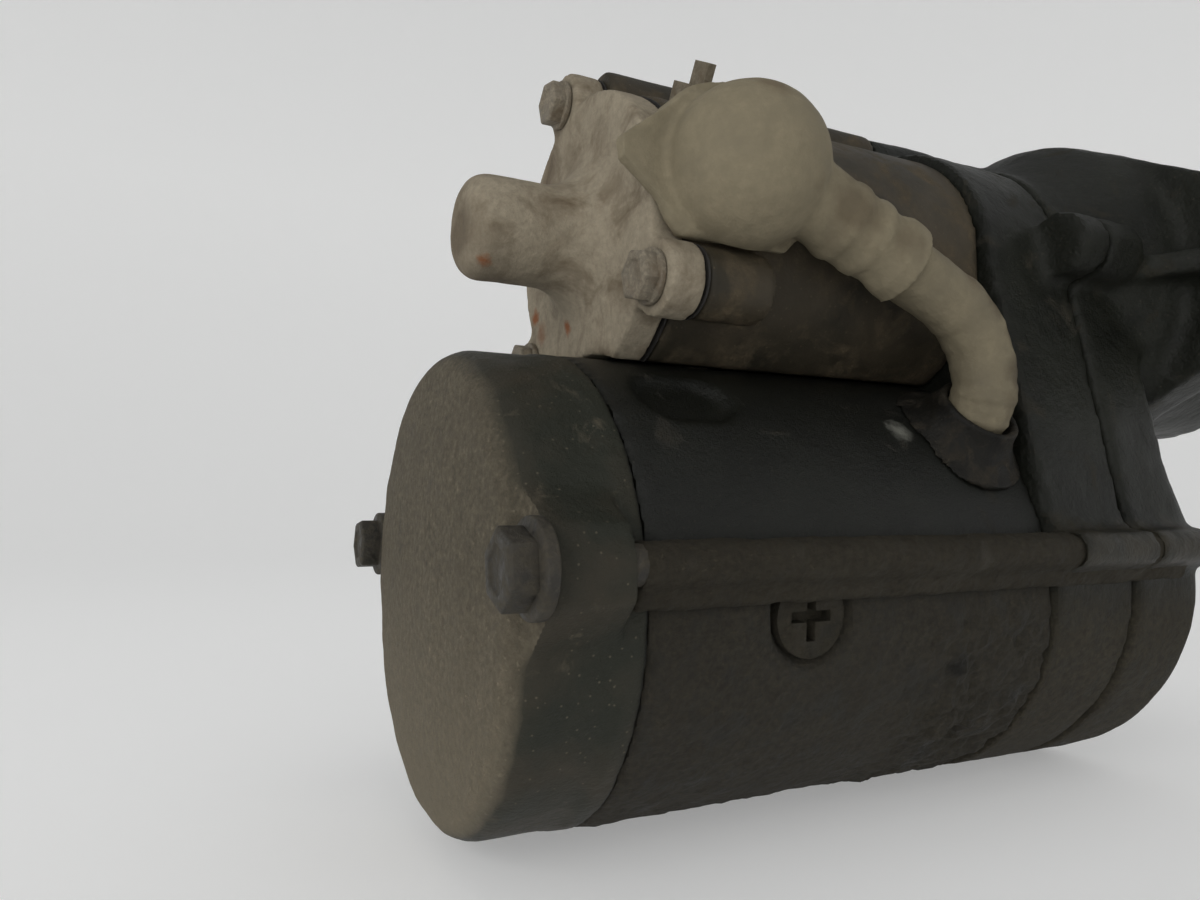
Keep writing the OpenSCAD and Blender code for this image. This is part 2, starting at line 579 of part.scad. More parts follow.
module terminal_boot() {
  cap_y = -35; cap_z = z_term + 0.8; cap_r = 14.4; wall = 2.1;
  color([0.66, 0.63, 0.57]) difference() {
    union() {
      translate([x_term, cap_y, cap_z]) rotate([-90, 0, 0]) {
        sphere(r = cap_r);
        cylinder(h = 12, r = cap_r);
      }
      translate([x_term, -31.5, cap_z]) rotate([-90, 0, 0]) cylinder(h = 8, r = cap_r + 2.5);
      translate([0, -22, 0]) rotate([90, 0, 0]) linear_extrude(height = 10.5)
        polygon([[x_term + 4, cap_z + 15.5], [x_term - 10, cap_z + 12.5], [x_term - 22.5, cap_z + 3],
          [x_term - 22.5, cap_z - 1], [x_term - 10, cap_z - 12], [x_term + 4, cap_z - 15.5]]);
      bar(neck_a, neck_b, 7);
      for (t = [0.45, 0.65, 0.85]) let (p = neck_a + (neck_b - neck_a) * t)
        bar(p, p + neck_d * 2.2, 7.5);
      bar(neck_b - neck_d * 3, neck_b + neck_d, 8);
    }
    // room for the nut, the insulator and the terminal boss
    translate([x_term, cap_y, cap_z]) intersection() {
      sphere(r = cap_r - wall);
      translate([-20, -20, -20]) cube([40, 21, 40]);
    }
    translate([x_term, cap_y, cap_z]) rotate([-90, 0, 0]) cylinder(h = 20, r = cap_r - wall);
    bar(neck_a - neck_d * 3, neck_b + neck_d * 3, 6.1);
    ex(-160, -60) switch_outline(sol_r + 0.3, 7.1, 0);
  }
}
module lead_sleeve() color([0.6, 0.57, 0.51]) sweep(route(8, 0.5), 6, 3.3);
module lead_core() color([0.5, 0.3, 0.2]) sweep(route(20, 11.5), 2.6);
module lead_eye() color([0.6, 0.45, 0.3]) difference() {
  union() {
    terminal_at(1) translate([0, 0, 34.15]) {
      cylinder(h = 1.9, r = 8);
      translate([0, -5, 0]) cube([10.5, 6, 1.9]);
    }
    bar(neck_b - neck_d * 24, neck_b - neck_d * 16, 3.6);
  }
  terminal_at(1) cylinder(h = 50, r = 4.05);
  bar(neck_b - neck_d * 20.1, neck_b - neck_d * 15, 2.7);
}
module lead_strap() color([0.6, 0.35, 0.2]) translate([x_lead, 0, zm])
  rotate([-lead_turn, 0, 0]) rotate([90, 0, 0]) translate([-21.5, -4, 31.6]) difference() {
    cube([26, 8, 3.6]);
    translate([21.5, 4, 3]) cylinder(h = 2, r = 2.8);
  }
module lead_grommet() color([0.2, 0.17, 0.15]) difference() {
  translate([x_lead, 0, zm]) rotate([-lead_turn, 0, 0]) rotate([90, 0, 0]) {
    translate([0, 0, 38]) cylinder(h = 12, r = 7.3);
    rotate_extrude() difference() {
      translate([0, 41]) square([14, 9]);
      translate([17, 50.5]) circle(r = 8.7);
    }
  }
  difference() {
    tube(x_yr, x_yf, yoke_r + 0.1, 0, zm);
    translate([x_lead, 0, zm]) rotate([-lead_turn, 0, 0]) rotate([90, 0, 0]) cylinder(h = 60, r = 7.3);
  }
  translate([x_lead, 0, zm]) rotate([-lead_turn, 0, 0]) rotate([90, 0, 0]) {
    translate([0, 0, 30]) cylinder(h = 17, r = 6.1);
    translate([0, 0, 46.5]) cylinder(h = 4, r1 = 6.1, r2 = 7);
  }
  translate([x_yf - 0.1, -100, -100]) cube([40, 100, 100]);
}

rear_cover();
through_bolts();
yoke();
pole_cores();
pole_screws();
field_coils();
brush_holder();
brushes();
brush_springs();
rear_bearing();
armature_shaft();
armature_core();
armature_winding();
commutator();
front_bearing();
gear_case();
drive_housing();
housing_dowels();
barrel_screws();
idler_pin();
idler_bush();
idler_gear();
clutch_rear_bearing();
clutch_front_bearing();
clutch_outer();
clutch_rollers();
clutch_cap();
clutch_inner();
pinion_shaft();
drive_pinion();
pinion_stop();
pinion_spring();
push_ball();
switch_housing();
switch_cover();
cover_gasket();
switch_bolts();
coil_bobbin();
switch_coil();
fixed_core();
plunger();
push_rod();
plunger_spring();
contact_disc();
contact_washers();
contact_spring();
fixed_contacts();
contact_base();
terminal_insulators();
motor_stud();
battery_stud();
terminal_nuts();
trigger_terminal();
terminal_boot();
lead_core();
lead_eye();
lead_strap();
lead_sleeve();
lead_grommet();
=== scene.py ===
"""Starter motor with gear reduction: the look of its castings, paint, rubber and dirt.

Every length is in metres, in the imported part's own frame: X along the motor from
its rear cover to its drive end, Z up from the motor to the switch.
"""
import json
import math

import bpy
from bpy.props import FloatProperty, FloatVectorProperty, IntProperty, PointerProperty
from bpy.types import Operator, Panel, PropertyGroup
from mathutils import Matrix, Vector


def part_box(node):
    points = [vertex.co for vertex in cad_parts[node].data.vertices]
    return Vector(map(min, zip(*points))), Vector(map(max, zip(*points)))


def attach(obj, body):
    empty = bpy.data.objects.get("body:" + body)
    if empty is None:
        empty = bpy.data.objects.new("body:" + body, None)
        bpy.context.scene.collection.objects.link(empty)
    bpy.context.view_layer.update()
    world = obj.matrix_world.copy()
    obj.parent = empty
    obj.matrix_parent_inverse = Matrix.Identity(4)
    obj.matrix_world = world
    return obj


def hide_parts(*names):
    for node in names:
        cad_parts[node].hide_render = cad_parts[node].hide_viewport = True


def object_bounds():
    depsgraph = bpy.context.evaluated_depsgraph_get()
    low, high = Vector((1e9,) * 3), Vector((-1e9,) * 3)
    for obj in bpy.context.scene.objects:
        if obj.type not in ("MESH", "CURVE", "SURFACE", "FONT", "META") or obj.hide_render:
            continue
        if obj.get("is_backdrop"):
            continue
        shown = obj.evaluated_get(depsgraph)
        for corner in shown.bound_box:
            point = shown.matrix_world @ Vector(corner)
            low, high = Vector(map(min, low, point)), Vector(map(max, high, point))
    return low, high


bl_info = {
    "name": "Starter Motor",
    "version": (1, 0, 0),
    "blender": (4, 5, 0),
    "location": "3D View > Sidebar > Starter",
    "description": "Models and finishes the pieces of a used gear reduction starter motor",
    "category": "Object",
}

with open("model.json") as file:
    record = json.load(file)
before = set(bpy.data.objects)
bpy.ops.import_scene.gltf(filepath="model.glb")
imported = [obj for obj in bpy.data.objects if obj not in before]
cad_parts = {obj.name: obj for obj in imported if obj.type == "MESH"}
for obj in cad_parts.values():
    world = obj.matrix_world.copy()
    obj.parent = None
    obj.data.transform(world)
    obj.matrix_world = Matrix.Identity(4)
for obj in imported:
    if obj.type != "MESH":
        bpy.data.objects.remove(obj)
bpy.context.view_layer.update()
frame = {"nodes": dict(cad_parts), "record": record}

MM = 0.001
MOTOR_Z = -0.067            # height of the motor axis under the switch axis
COVER_JOINT = -0.150        # where the rear cover meets the yoke
YOKE_R = 0.043              # outside radius of the yoke
BOLT_RING = 0.0466          # radius of the through bolts round the motor axis
BOLT_TURN = math.radians(7.6)
TIE_RING = 0.0325           # radius of the switch bolts round the switch axis
TIE_TURNS = [math.radians(a) for a in (76, 206, 320)]
LEAD_TURN = math.radians(42)    # how far above level the lead enters the yoke
LEAD_X = -0.0725
NECK_START = Vector((-0.121, -0.038, 0.0033))   # the boot's neck, at its cap
NECK_END = Vector((-0.095, -0.038, -0.008))     # and where the sleeve leaves it

# The camera stands beside the rear cover and looks along the near side of the yoke.
CAMERA_PLACE = (-0.211953, -0.150594, -0.053126)
CAMERA_RIGHT = Vector((0.89441, -0.44725, -0.00061))
CAMERA_UP = Vector((-0.0307, -0.06276, 0.99756))
CAMERA_BACK = Vector((-0.44619, -0.89221, -0.06987))


# ---------------------------------------------------------------- settings
def tone(red, green, blue):
    """Scene-linear colour of a screen colour given in steps of 255."""
    return tuple(((c / 255 + 0.055) / 1.055) ** 2.4 for c in (red, green, blue))


def swatch(name, description, colour):
    return FloatVectorProperty(
        name=name, description=description, default=colour, size=3,
        subtype="COLOR", min=0, max=1)


def length(name, description, size):
    return FloatProperty(
        name=name, description=description, default=size, unit="LENGTH",
        min=0.0, precision=5)


class STARTER_PG_surface(PropertyGroup):
    """Sizes of the cast and caked surfaces."""
    cover_grid: length("Cover grid", "Spacing of the rear cover's surface points", 0.9 * MM)
    case_grid: length("Case grid", "Spacing of the big castings' surface points", 1.25 * MM)
    switch_grid: length(
        "Switch grid", "Spacing of the switch castings' surface points", 0.75 * MM)
    rubber_grid: length("Rubber grid", "Spacing of the boot's surface points", 0.55 * MM)
    softness: IntProperty(
        name="Edge softness", description="How far the cast edges are rounded",
        default=5, min=0, max=20)
    waviness: length("Cast waviness", "Height of the uneven cast skin", 0.5 * MM)
    grime: length("Grime thickness", "Thickest dirt caked on the lower yoke", 2.8 * MM)


class STARTER_PG_colours(PropertyGroup):
    """Colours of the paint, alloy, rubber and dirt."""
    sand: swatch("Sand", "Dry dust on the rear cover", tone(128, 119, 101))
    grime: swatch("Grime", "Oily dirt on the castings", tone(68, 63, 52))
    paint: swatch("Paint", "Black paint of the yoke", tone(23, 24, 19))
    alloy: swatch("Alloy dust", "Pale dust on the switch cover", tone(156, 146, 127))
    stain: swatch("Stain", "Brown stain under the pale dust", tone(99, 86, 68))
    boot: swatch("Boot", "Perished rubber of the boot", tone(130, 121, 100))
    rust: swatch("Rust", "Rust blooms", tone(128, 72, 34))
    copper: swatch("Copper", "Windings and contacts", tone(172, 104, 66))


class STARTER_PG_studio(PropertyGroup):
    """Floor and lights."""
    floor: swatch("Floor", "Colour of the pale floor", tone(226, 226, 225))
    key: FloatProperty(
        name="Key light", description="Strength of the soft light at the rear cover's side",
        default=2.8, min=0, unit="POWER")
    sky: FloatProperty(
        name="Room light", description="Strength of the even light all round",
        default=0.21, min=0)


def looks():
    return bpy.context.scene.starter_colours


def sizes():
    return bpy.context.scene.starter_surface


# ---------------------------------------------------------------- finishes
def shade(colour, gain):
    return tuple(min(1.0, c * gain) for c in colour[:3])


class Finish:
    """The shader nodes of one surface finish, laid out on Object coordinates."""

    def __init__(self, name, metal=0.0, gloss=0.3):
        self.mat = bpy.data.materials.new(name)
        self.mat.use_nodes = True
        self.tree = self.mat.node_tree
        self.skin = self.tree.nodes["Principled BSDF"]
        self.skin.inputs["Metallic"].default_value = metal
        self.skin.inputs["Specular IOR Level"].default_value = gloss
        where = self.tree.nodes.new("ShaderNodeTexCoord")
        self.place = where.outputs["Object"]
        self.normal = where.outputs["Normal"]
        self.relief = None

    def node(self, kind, inputs, **settings):
        made = self.tree.nodes.new(kind)
        for key, value in settings.items():
            setattr(made, key, value)
        for key, value in inputs.items():
            if isinstance(value, bpy.types.NodeSocket):
                self.tree.links.new(value, made.inputs[key])
            else:
                made.inputs[key].default_value = value
        return made

    def span(self, value, lo, hi):
        """0 at lo and 1 at hi, held beyond them."""
        return self.node("ShaderNodeMapRange", {
            "Value": value, "From Min": lo, "From Max": hi}).outputs["Result"]

    def math(self, kind, a, b):
        return self.node("ShaderNodeMath", {0: a, 1: b}, operation=kind).outputs[0]

    def mix(self, share, a, b):
        colours = [c if isinstance(c, bpy.types.NodeSocket) else (*c[:3], 1)
                   for c in (a, b)]
        return self.node("ShaderNodeMix", {0: share, 6: colours[0], 7: colours[1]},
                         data_type="RGBA").outputs[2]

    def stretched(self, scale):
        return self.node("ShaderNodeMapping", {
            "Vector": self.place, "Scale": scale}).outputs[0]

    def clouds(self, size, lo=0.35, hi=0.65, detail=4.0, rough=0.6, warp=0.0, stretch=None):
        """Cloud pattern from 0 to 1 with patches about one size across."""
        place = self.stretched(stretch) if stretch else self.place
        made = self.node("ShaderNodeTexNoise", {
            "Vector": place, "Scale": 1 / size, "Detail": detail,
            "Roughness": rough, "Distortion": warp})
        return self.span(made.outputs["Fac"], lo, hi)

    def grains(self, size, lo, hi):
        """1 in the middle of each scattered grain."""
        made = self.node("ShaderNodeTexVoronoi", {"Vector": self.place, "Scale": 1 / size})
        return self.span(made.outputs["Distance"], hi, lo)

    def facing(self, axis, lo, hi):
        made = self.node("ShaderNodeVectorMath", {0: self.normal, 1: axis},
                         operation="DOT_PRODUCT")
        return self.span(made.outputs["Value"], lo, hi)

    def along(self, axis, lo, hi):
        made = self.node("ShaderNodeVectorMath", {0: self.place, 1: axis},
                         operation="DOT_PRODUCT")
        return self.span(made.outputs["Value"], lo, hi)

    def spot(self, centre, radius, ragged=0.5):
        """1 inside a ragged spot round a point."""
        far = self.node("ShaderNodeVectorMath", {0: self.place, 1: centre},
                        operation="DISTANCE").outputs["Value"]
        edge = self.clouds(radius * 0.7, 0.3, 0.7)
        far = self.math("ADD", far, self.math("MULTIPLY", edge, radius * ragged))
        return self.span(far, radius * (1 + ragged * 0.5), radius * 0.55)

    def line(self, x, half):
        """1 on a thin line round the motor at one X station."""
        made = self.node("ShaderNodeSeparateXYZ", {0: self.place})
        off = self.math("ABSOLUTE", self.math("SUBTRACT", made.outputs[0], x), 0.0)
        return self.span(off, half, half * 0.3)

    def raise_by(self, height, depth):
        """Adds relief of a depth in metres."""
        inputs = {"Height": height, "Distance": depth, "Strength": 1.0}
        if self.relief:
            inputs["Normal"] = self.relief
        self.relief = self.node("ShaderNodeBump", inputs).outputs[0]

    def done(self, colour, rough):
        if isinstance(colour, tuple):
            colour = (*colour[:3], 1)
        for key, value in (("Base Color", colour), ("Roughness", rough)):
            if isinstance(value, bpy.types.NodeSocket):
                self.tree.links.new(value, self.skin.inputs[key])
            else:
                self.skin.inputs[key].default_value = value
        if self.relief:
            self.tree.links.new(self.relief, self.skin.inputs["Normal"])
        return self.mat


def dirty(name, under, dust, dark, cover=0.5, where=None, grain=0.9 * MM, patch=7 * MM,
          relief=0.3 * MM, grit=0.12 * MM, clean=0.5, caked=0.92, gloss=0.18, marks=(),
          metal=0.0, mottle=0.32, specks=0.25):
    """A surface with dust lying on it. cover is how much is hidden, from 0 to 1, and
    where, if given, makes the share of thicker dust from the finish itself. mottle is
    how much the grains differ in tone."""
    f = Finish(name, metal, gloss)
    ground = f.mix(f.clouds(patch * 3, 0.38, 0.62, warp=1.0), under, dark)
    film = f.clouds(patch, 0.68 - cover * 0.55, 0.86 - cover * 0.45, detail=6, warp=0.6)
    if where:
        film = f.math("MAXIMUM", film, where(f))
    sandy = f.clouds(grain, 0.32, 0.62, detail=5, rough=0.75)
    bare = mottle * 1.7
    left = f.math("ADD", f.math("MULTIPLY", sandy, bare), 1 - bare)
    film = f.math("MULTIPLY", film, left)
    tint = f.mix(f.clouds(grain * 1.6, 0.35, 0.65), shade(dust, 1 - mottle),
                 shade(dust, 1 + mottle * 0.7))
    tint = f.mix(f.clouds(patch * 2.2, 0.3, 0.7), tint, f.mix(0.5, tint, shade(dust, 0.75)))
    colour = f.mix(film, ground, tint)
    if specks:
        grit_spots = f.grains(grain * 2.0, 0.08, 0.14)
        colour = f.mix(f.math("MULTIPLY", grit_spots, specks), colour, shade(dust, 1.4))
    for centre, radius, mark, strength in marks:
        colour = f.mix(f.math("MULTIPLY", f.spot(centre, radius), strength), colour, mark)
    f.raise_by(f.clouds(patch * 0.6, 0.2, 0.8, detail=6), relief)
    f.raise_by(f.math("MULTIPLY", sandy, f.math("ADD", film, 0.25)), grit)
    rough = f.math("ADD", f.math("MULTIPLY", film, caked - clean), clean)
    return f, colour, rough


def machined(name, colour, rough=0.32, size=3 * MM, stretch=(1, 6, 6)):
    """Bare metal with fine tool marks and a thin oil film."""
    f = Finish(name, metal=1.0, gloss=0.5)
    oil = f.clouds(size * 2, 0.4, 0.7)
    tint = f.mix(f.clouds(size, 0.3, 0.7), shade(colour, 0.82), shade(colour, 1.1))
    f.raise_by(f.clouds(size * 0.25, 0.3, 0.7, stretch=stretch), 0.02 * MM)
    share = f.math("ADD", f.math("MULTIPLY", oil, 0.22), rough)
    return f.done(f.mix(f.math("MULTIPLY", oil, 0.35), tint, shade(colour, 0.45)), share)


def wound(name, colour, pitch=1.2 * MM):
    """Varnished copper wire, laid turn beside turn."""
    f = Finish(name, metal=0.85, gloss=0.5)
    turns = f.node("ShaderNodeTexWave", {
        "Vector": f.place, "Scale": 0.16 / pitch, "Distortion": 0.4, "Detail": 1.0},
        wave_type="BANDS", bands_direction="X").outputs["Fac"]
    f.raise_by(turns, 0.25 * MM)
    varnish = f.mix(f.clouds(6 * MM, 0.4, 0.65), colour, shade(colour, 0.42))
    # Painted shade: the colour is darkened in the grooves between the turns, where the wave
    # is low.
    return f.done(f.mix(turns, shade(colour, 0.35), varnish), 0.38)


def moulded(name, colour, rough=0.55, grain=0.7 * MM):
    """Moulded resin, fibre or carbon with a mottled skin."""
    f = Finish(name, gloss=0.35)
    tint = f.mix(f.clouds(grain * 6, 0.35, 0.65), shade(colour, 0.7), shade(colour, 1.25))
    f.raise_by(f.clouds(grain, 0.3, 0.7, detail=6), 0.06 * MM)
    share = f.math("ADD", f.math("MULTIPLY", f.clouds(grain * 4), 0.2), rough - 0.1)
    return f.done(tint, share)


# ---------------------------------------------------------------- shaping
def leave_edit():
    active = bpy.context.view_layer.objects.active
    if active and active.mode != "OBJECT":
        bpy.ops.object.mode_set(mode="OBJECT")


def pick(*pieces):
    """Selects these pieces and nothing else, the first one active."""
    leave_edit()
    bpy.ops.object.select_all(action="DESELECT")
    for piece in pieces:
        piece.select_set(True)
    bpy.context.view_layer.objects.active = pieces[0]


def added(name):
    """The primitive just added, under its own name."""
    piece = bpy.context.active_object
    piece.name = piece.data.name = name
    return piece


def choose(piece, test, kind="FACE"):
    """Opens the piece in edit mode with what passes the test selected."""
    pick(piece)
    bpy.ops.object.mode_set(mode="EDIT")
    bpy.ops.mesh.select_mode(type=kind)
    bpy.ops.mesh.select_all(action="DESELECT")
    bpy.ops.object.mode_set(mode="OBJECT")
    mesh = piece.data
    for part in {"FACE": mesh.polygons, "EDGE": mesh.edges, "VERT": mesh.vertices}[kind]:
        part.select = test(part)
    bpy.ops.object.mode_set(mode="EDIT")


def work(piece, kind, **settings):
    """Adds a modifier with these settings and applies it."""
    pick(piece)
    tool = piece.modifiers.new(kind.title(), kind)
    for key, value in settings.items():
        setattr(tool, key, value)
    bpy.ops.object.modifier_apply(modifier=tool.name)


def uneven(piece, height, size, group="", middle=0.5):
    """Pushes the skin in and out in lumps of one size."""
    cloud = bpy.data.textures.new(piece.name + "_lumps", "CLOUDS")
    cloud.noise_scale = size
    cloud.noise_depth = 3
    work(piece, "DISPLACE", texture=cloud, strength=height, mid_level=middle,
         vertex_group=group)


def applied(piece):
    """Puts the piece's place, turn and size into its mesh."""
    pick(piece)
    bpy.ops.object.transform_apply(location=True, rotation=True, scale=True)
    return piece


def settle(piece, place, axis=(0, 0, 1), turn=0.0):
    """Turns a piece made upright at the origin to an axis, moves it, and applies both."""
    stand = Vector(axis).to_track_quat("Z", "Y").to_matrix().to_4x4()
    piece.matrix_world = Matrix.Translation(place) @ stand @ Matrix.Rotation(turn, 4, "Z")
    return applied(piece)


def twin(piece, name):
    """A copy with a mesh of its own."""
    made = bpy.data.objects.new(name, piece.data.copy())
    bpy.context.scene.collection.objects.link(made)
    return made


def cast(node, name, grid, soft, wavy=0.0, lump=7 * MM):
    """The node's shape as it comes from the mould: soft edges and an uneven skin."""
    piece = bpy.data.objects.new(name, frame["nodes"][node].data.copy())
    bpy.context.scene.collection.objects.link(piece)
    choose(piece, lambda vertex: True, "VERT")
    bpy.ops.mesh.remove_doubles(threshold=1e-6)
    bpy.ops.mesh.customdata_custom_splitnormals_clear()
    leave_edit()
    work(piece, "REMESH", mode="VOXEL", voxel_size=grid)
    work(piece, "SMOOTH", factor=0.5, iterations=soft)
    if wavy:
        uneven(piece, wavy, lump, middle=0.85)
    return piece


def hand_over(piece, material, body, slot, *nodes):
    """Finishes a piece: its material, smooth shading, body and the nodes it stands for."""
    pick(piece)
    piece.data.materials.clear()
    piece.data.materials.append(material)
    for polygon in piece.data.polygons:
        polygon.material_index = 0
    bpy.ops.object.shade_smooth_by_angle(angle=math.radians(40))
    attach(piece, body)
    if nodes:
        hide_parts(*nodes)
    return piece


def motor_point(x, radius, turn, side=-1):
    """A point round the motor axis. turn is above level, side -1 is the near side."""
    return Vector((x, side * radius * math.cos(turn), MOTOR_Z + radius * math.sin(turn)))


def switch_point(x, radius, turn):
    """A point round the switch axis, turn measured from +Y."""
    return Vector((x, radius * math.cos(turn), radius * math.sin(turn)))


def bolt_head(name, across, tall, flange, flange_tall):
    """A forged hexagon head standing on the origin, with a chamfered crown and a flange
    of a radius and a height."""
    bpy.ops.mesh.primitive_cylinder_add(
        vertices=6, radius=across / 2 / math.cos(math.pi / 6), depth=tall - flange_tall,
        location=(0, 0, (tall + flange_tall) / 2))
    head = applied(added(name))
    choose(head, lambda face: face.normal.z > 0.9)
    bpy.ops.mesh.inset(thickness=across * 0.07)
    bpy.ops.transform.translate(value=(0, 0, across * 0.04))
    bpy.ops.mesh.inset(thickness=across * 0.12)
    bpy.ops.mesh.inset(thickness=across * 0.03)
    bpy.ops.transform.translate(value=(0, 0, -across * 0.04))
    leave_edit()
    bpy.ops.mesh.primitive_cylinder_add(
        vertices=48, radius=flange, depth=flange_tall * 1.2,
        location=(0, 0, flange_tall * 0.6))
    skirt = applied(added(name + "_skirt"))
    choose(skirt, lambda face: face.normal.z > 0.9)
    bpy.ops.mesh.inset(thickness=flange * 0.18)
    bpy.ops.transform.translate(value=(0, 0, flange_tall * 0.3))
    leave_edit()
    pick(head, skirt)
    bpy.ops.object.join()
    work(head, "BEVEL", width=across * 0.035, segments=3, limit_method="ANGLE",
         angle_limit=math.radians(25))
    return head


def swept(name, points, radii, sides=10):
    """A round rubber tube along points, with its own radius at each."""
    curve = bpy.data.curves.new(name, "CURVE")
    curve.dimensions = "3D"
    curve.bevel_depth = 1.0
    curve.bevel_resolution = sides
    curve.use_fill_caps = True
    line = curve.splines.new("POLY")
    line.points.add(len(points) - 1)
    for spot, point, radius in zip(line.points, points, radii):
        spot.co = (*point, 1)
        spot.radius = radius
    piece = bpy.data.objects.new(name, curve)
    bpy.context.scene.collection.objects.link(piece)
    pick(piece)
    bpy.ops.object.convert(target="MESH")
    return bpy.context.active_object


def group_by(piece, name, weigh):
    """A vertex group whose weights come from each point's place."""
    group = piece.vertex_groups.new(name=name)
    for vertex in piece.data.vertices:
        weight = weigh(vertex.co)
        if weight > 0:
            group.add([vertex.index], weight, "REPLACE")


def ease(value, lo, hi):
    share = min(1.0, max(0.0, (value - lo) / (hi - lo)))
    return share * share * (3 - 2 * share)


class Maker:
    """What the operators that make pieces share."""
    bl_options = {"REGISTER", "UNDO"}

    def execute(self, context):
        self.make()
        return {"FINISHED"}


# ---------------------------------------------------------------- motor
class STARTER_OT_rear_cover(Maker, Operator):
    """Rear cover with sand caked on its face, and painted light making its lower face paler
    """
    bl_idname = "starter.rear_cover"
    bl_label = "Rear cover"

    def make(self):
        hue = looks()
        cover = cast("rear_cover", "rear_cover_casting", sizes().cover_grid,
                     sizes().softness, sizes().waviness * 1.2, 9 * MM)
        f, colour, rough = dirty(
            "rear_cover_sand_and_painted_light", shade(hue.paint, 2.6), hue.sand, shade(hue.grime, 0.7),
            cover=0.12, grain=0.8 * MM, patch=8 * MM, relief=0.5 * MM, grit=0.35 * MM,
            where=lambda f: f.math("MULTIPLY", f.facing((-1, 0, 0), 0.45, 0.9),
                                   f.clouds(5 * MM, 0.12, 0.4, detail=6)))
        # Painted light: the lower part of the face is mixed towards a paler sand colour, as
        # if lit from below.
        low = f.math("MULTIPLY", f.along((0, 0, -1), -MOTOR_Z - 5 * MM, -MOTOR_Z + 38 * MM),
                     f.facing((-1, 0, 0), 0.45, 0.9))
        colour = f.mix(f.math("MULTIPLY", low, 0.6), colour, shade(hue.sand, 1.45))
        seam = f.line(COVER_JOINT - 0.3 * MM, 0.7 * MM)
        colour = f.mix(f.math("MULTIPLY", seam, 0.8), colour, shade(hue.paint, 0.4))
        hand_over(cover, f.done(colour, rough), "housing", "rear_cover_finish",
                  "rear_cover")


class STARTER_OT_yoke(Maker, Operator):
    """Black yoke with dirt caked on its lower half"""
    bl_idname = "starter.yoke"
    bl_label = "Yoke"

    def make(self):
        hue = looks()
        yoke = cast("yoke", "yoke_tube", sizes().case_grid, 2)

        def caked(place):
            radius = math.hypot(place.y, place.z - MOTOR_Z)
            low = 1 - ease(place.z - MOTOR_Z, -9 * MM, 1 * MM)
            ends = ease(place.x, COVER_JOINT, COVER_JOINT + 4 * MM)
            front = 0.35 + 0.65 * ease(place.x, -0.100, -0.086)
            outside = radius > YOKE_R - 2.5 * MM
            return low * ends * front if outside else 0.0

        def lumpy(place):
            return 1 - ease((place - crust).length, 5 * MM, 12 * MM)

        crust = motor_point(-0.080, YOKE_R + 0.5 * MM, math.radians(-32))
        bare_patch = motor_point(-0.089, YOKE_R, math.radians(42))
        oil_stain = motor_point(-0.086, YOKE_R + 1 * MM, math.radians(-19))
        group_by(yoke, "lumpy", lumpy)
        uneven(yoke, 4.5 * MM, 3.2 * MM, "lumpy", 0.42)
        group_by(yoke, "caked", caked)
        uneven(yoke, sizes().grime, 4.5 * MM, "caked", 0.25)
        uneven(yoke, sizes().grime * 0.5, 2 * MM, "caked", 0.5)
        below = MOTOR_Z + 2 * MM
        f, colour, rough = dirty(
            "yoke_paint", hue.paint, shade(hue.grime, 0.95), shade(hue.paint, 0.6),
            cover=0.08, grain=0.7 * MM, patch=9 * MM, relief=0.18 * MM, grit=0.3 * MM,
            clean=0.42, gloss=0.28,
            where=lambda f: f.math("MULTIPLY", f.along((0, 0, -1), -below, -below + 4 * MM),
                                   f.clouds(6 * MM, 0.2, 0.5, detail=6)),
            marks=((bare_patch, 3.2 * MM, tone(120, 120, 112), 0.8),
                   (oil_stain, 3 * MM, tone(18, 17, 14), 0.8)))
        hand_over(yoke, f.done(colour, rough), "housing", "yoke_finish", "yoke")


class STARTER_OT_through_bolts(Maker, Operator):
    """Two long bolts beside the yoke"""
    bl_idname = "starter.through_bolts"
    bl_label = "Through bolts"

    def make(self):
        hue = looks()
        low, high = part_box("through_bolts")
        seat = low.x + 6.4 * MM
        head = bolt_head("through_bolt_heads", 10 * MM, 5.8 * MM, 7 * MM, 1.5 * MM)
        parts = []
        for side in (-1, 1):
            place = motor_point(seat, BOLT_RING, BOLT_TURN, side)
            parts.append(settle(twin(head, "head"), place, (-1, 0, 0), 0.4 + side * 0.25))
            bpy.ops.mesh.primitive_cylinder_add(
                vertices=32, radius=3 * MM, depth=high.x - seat)
            rod = added("rod")
            choose(rod, lambda edge: abs(
                rod.data.vertices[edge.vertices[0]].co.z
                - rod.data.vertices[edge.vertices[1]].co.z) > MM, "EDGE")
            bpy.ops.mesh.subdivide(number_cuts=60)
            leave_edit()
            settle(rod, place + Vector(((high.x - seat) / 2, 0, 0)), (1, 0, 0))
            uneven(rod, 0.35 * MM, 5 * MM)
            parts.append(rod)
        bpy.data.objects.remove(head)
        pick(*parts)
        bpy.ops.object.join()
        bolts = added("through_bolt_set")
        f, colour, rough = dirty(
            "dirty_zinc", tone(46, 43, 37), shade(hue.sand, 0.36), tone(28, 26, 21),
            cover=0.55, grain=0.6 * MM, patch=3 * MM, relief=0.15 * MM, clean=0.4,
            gloss=0.35)
        hand_over(bolts, f.done(colour, rough), "housing", "through_bolts_finish",
                  "through_bolts")


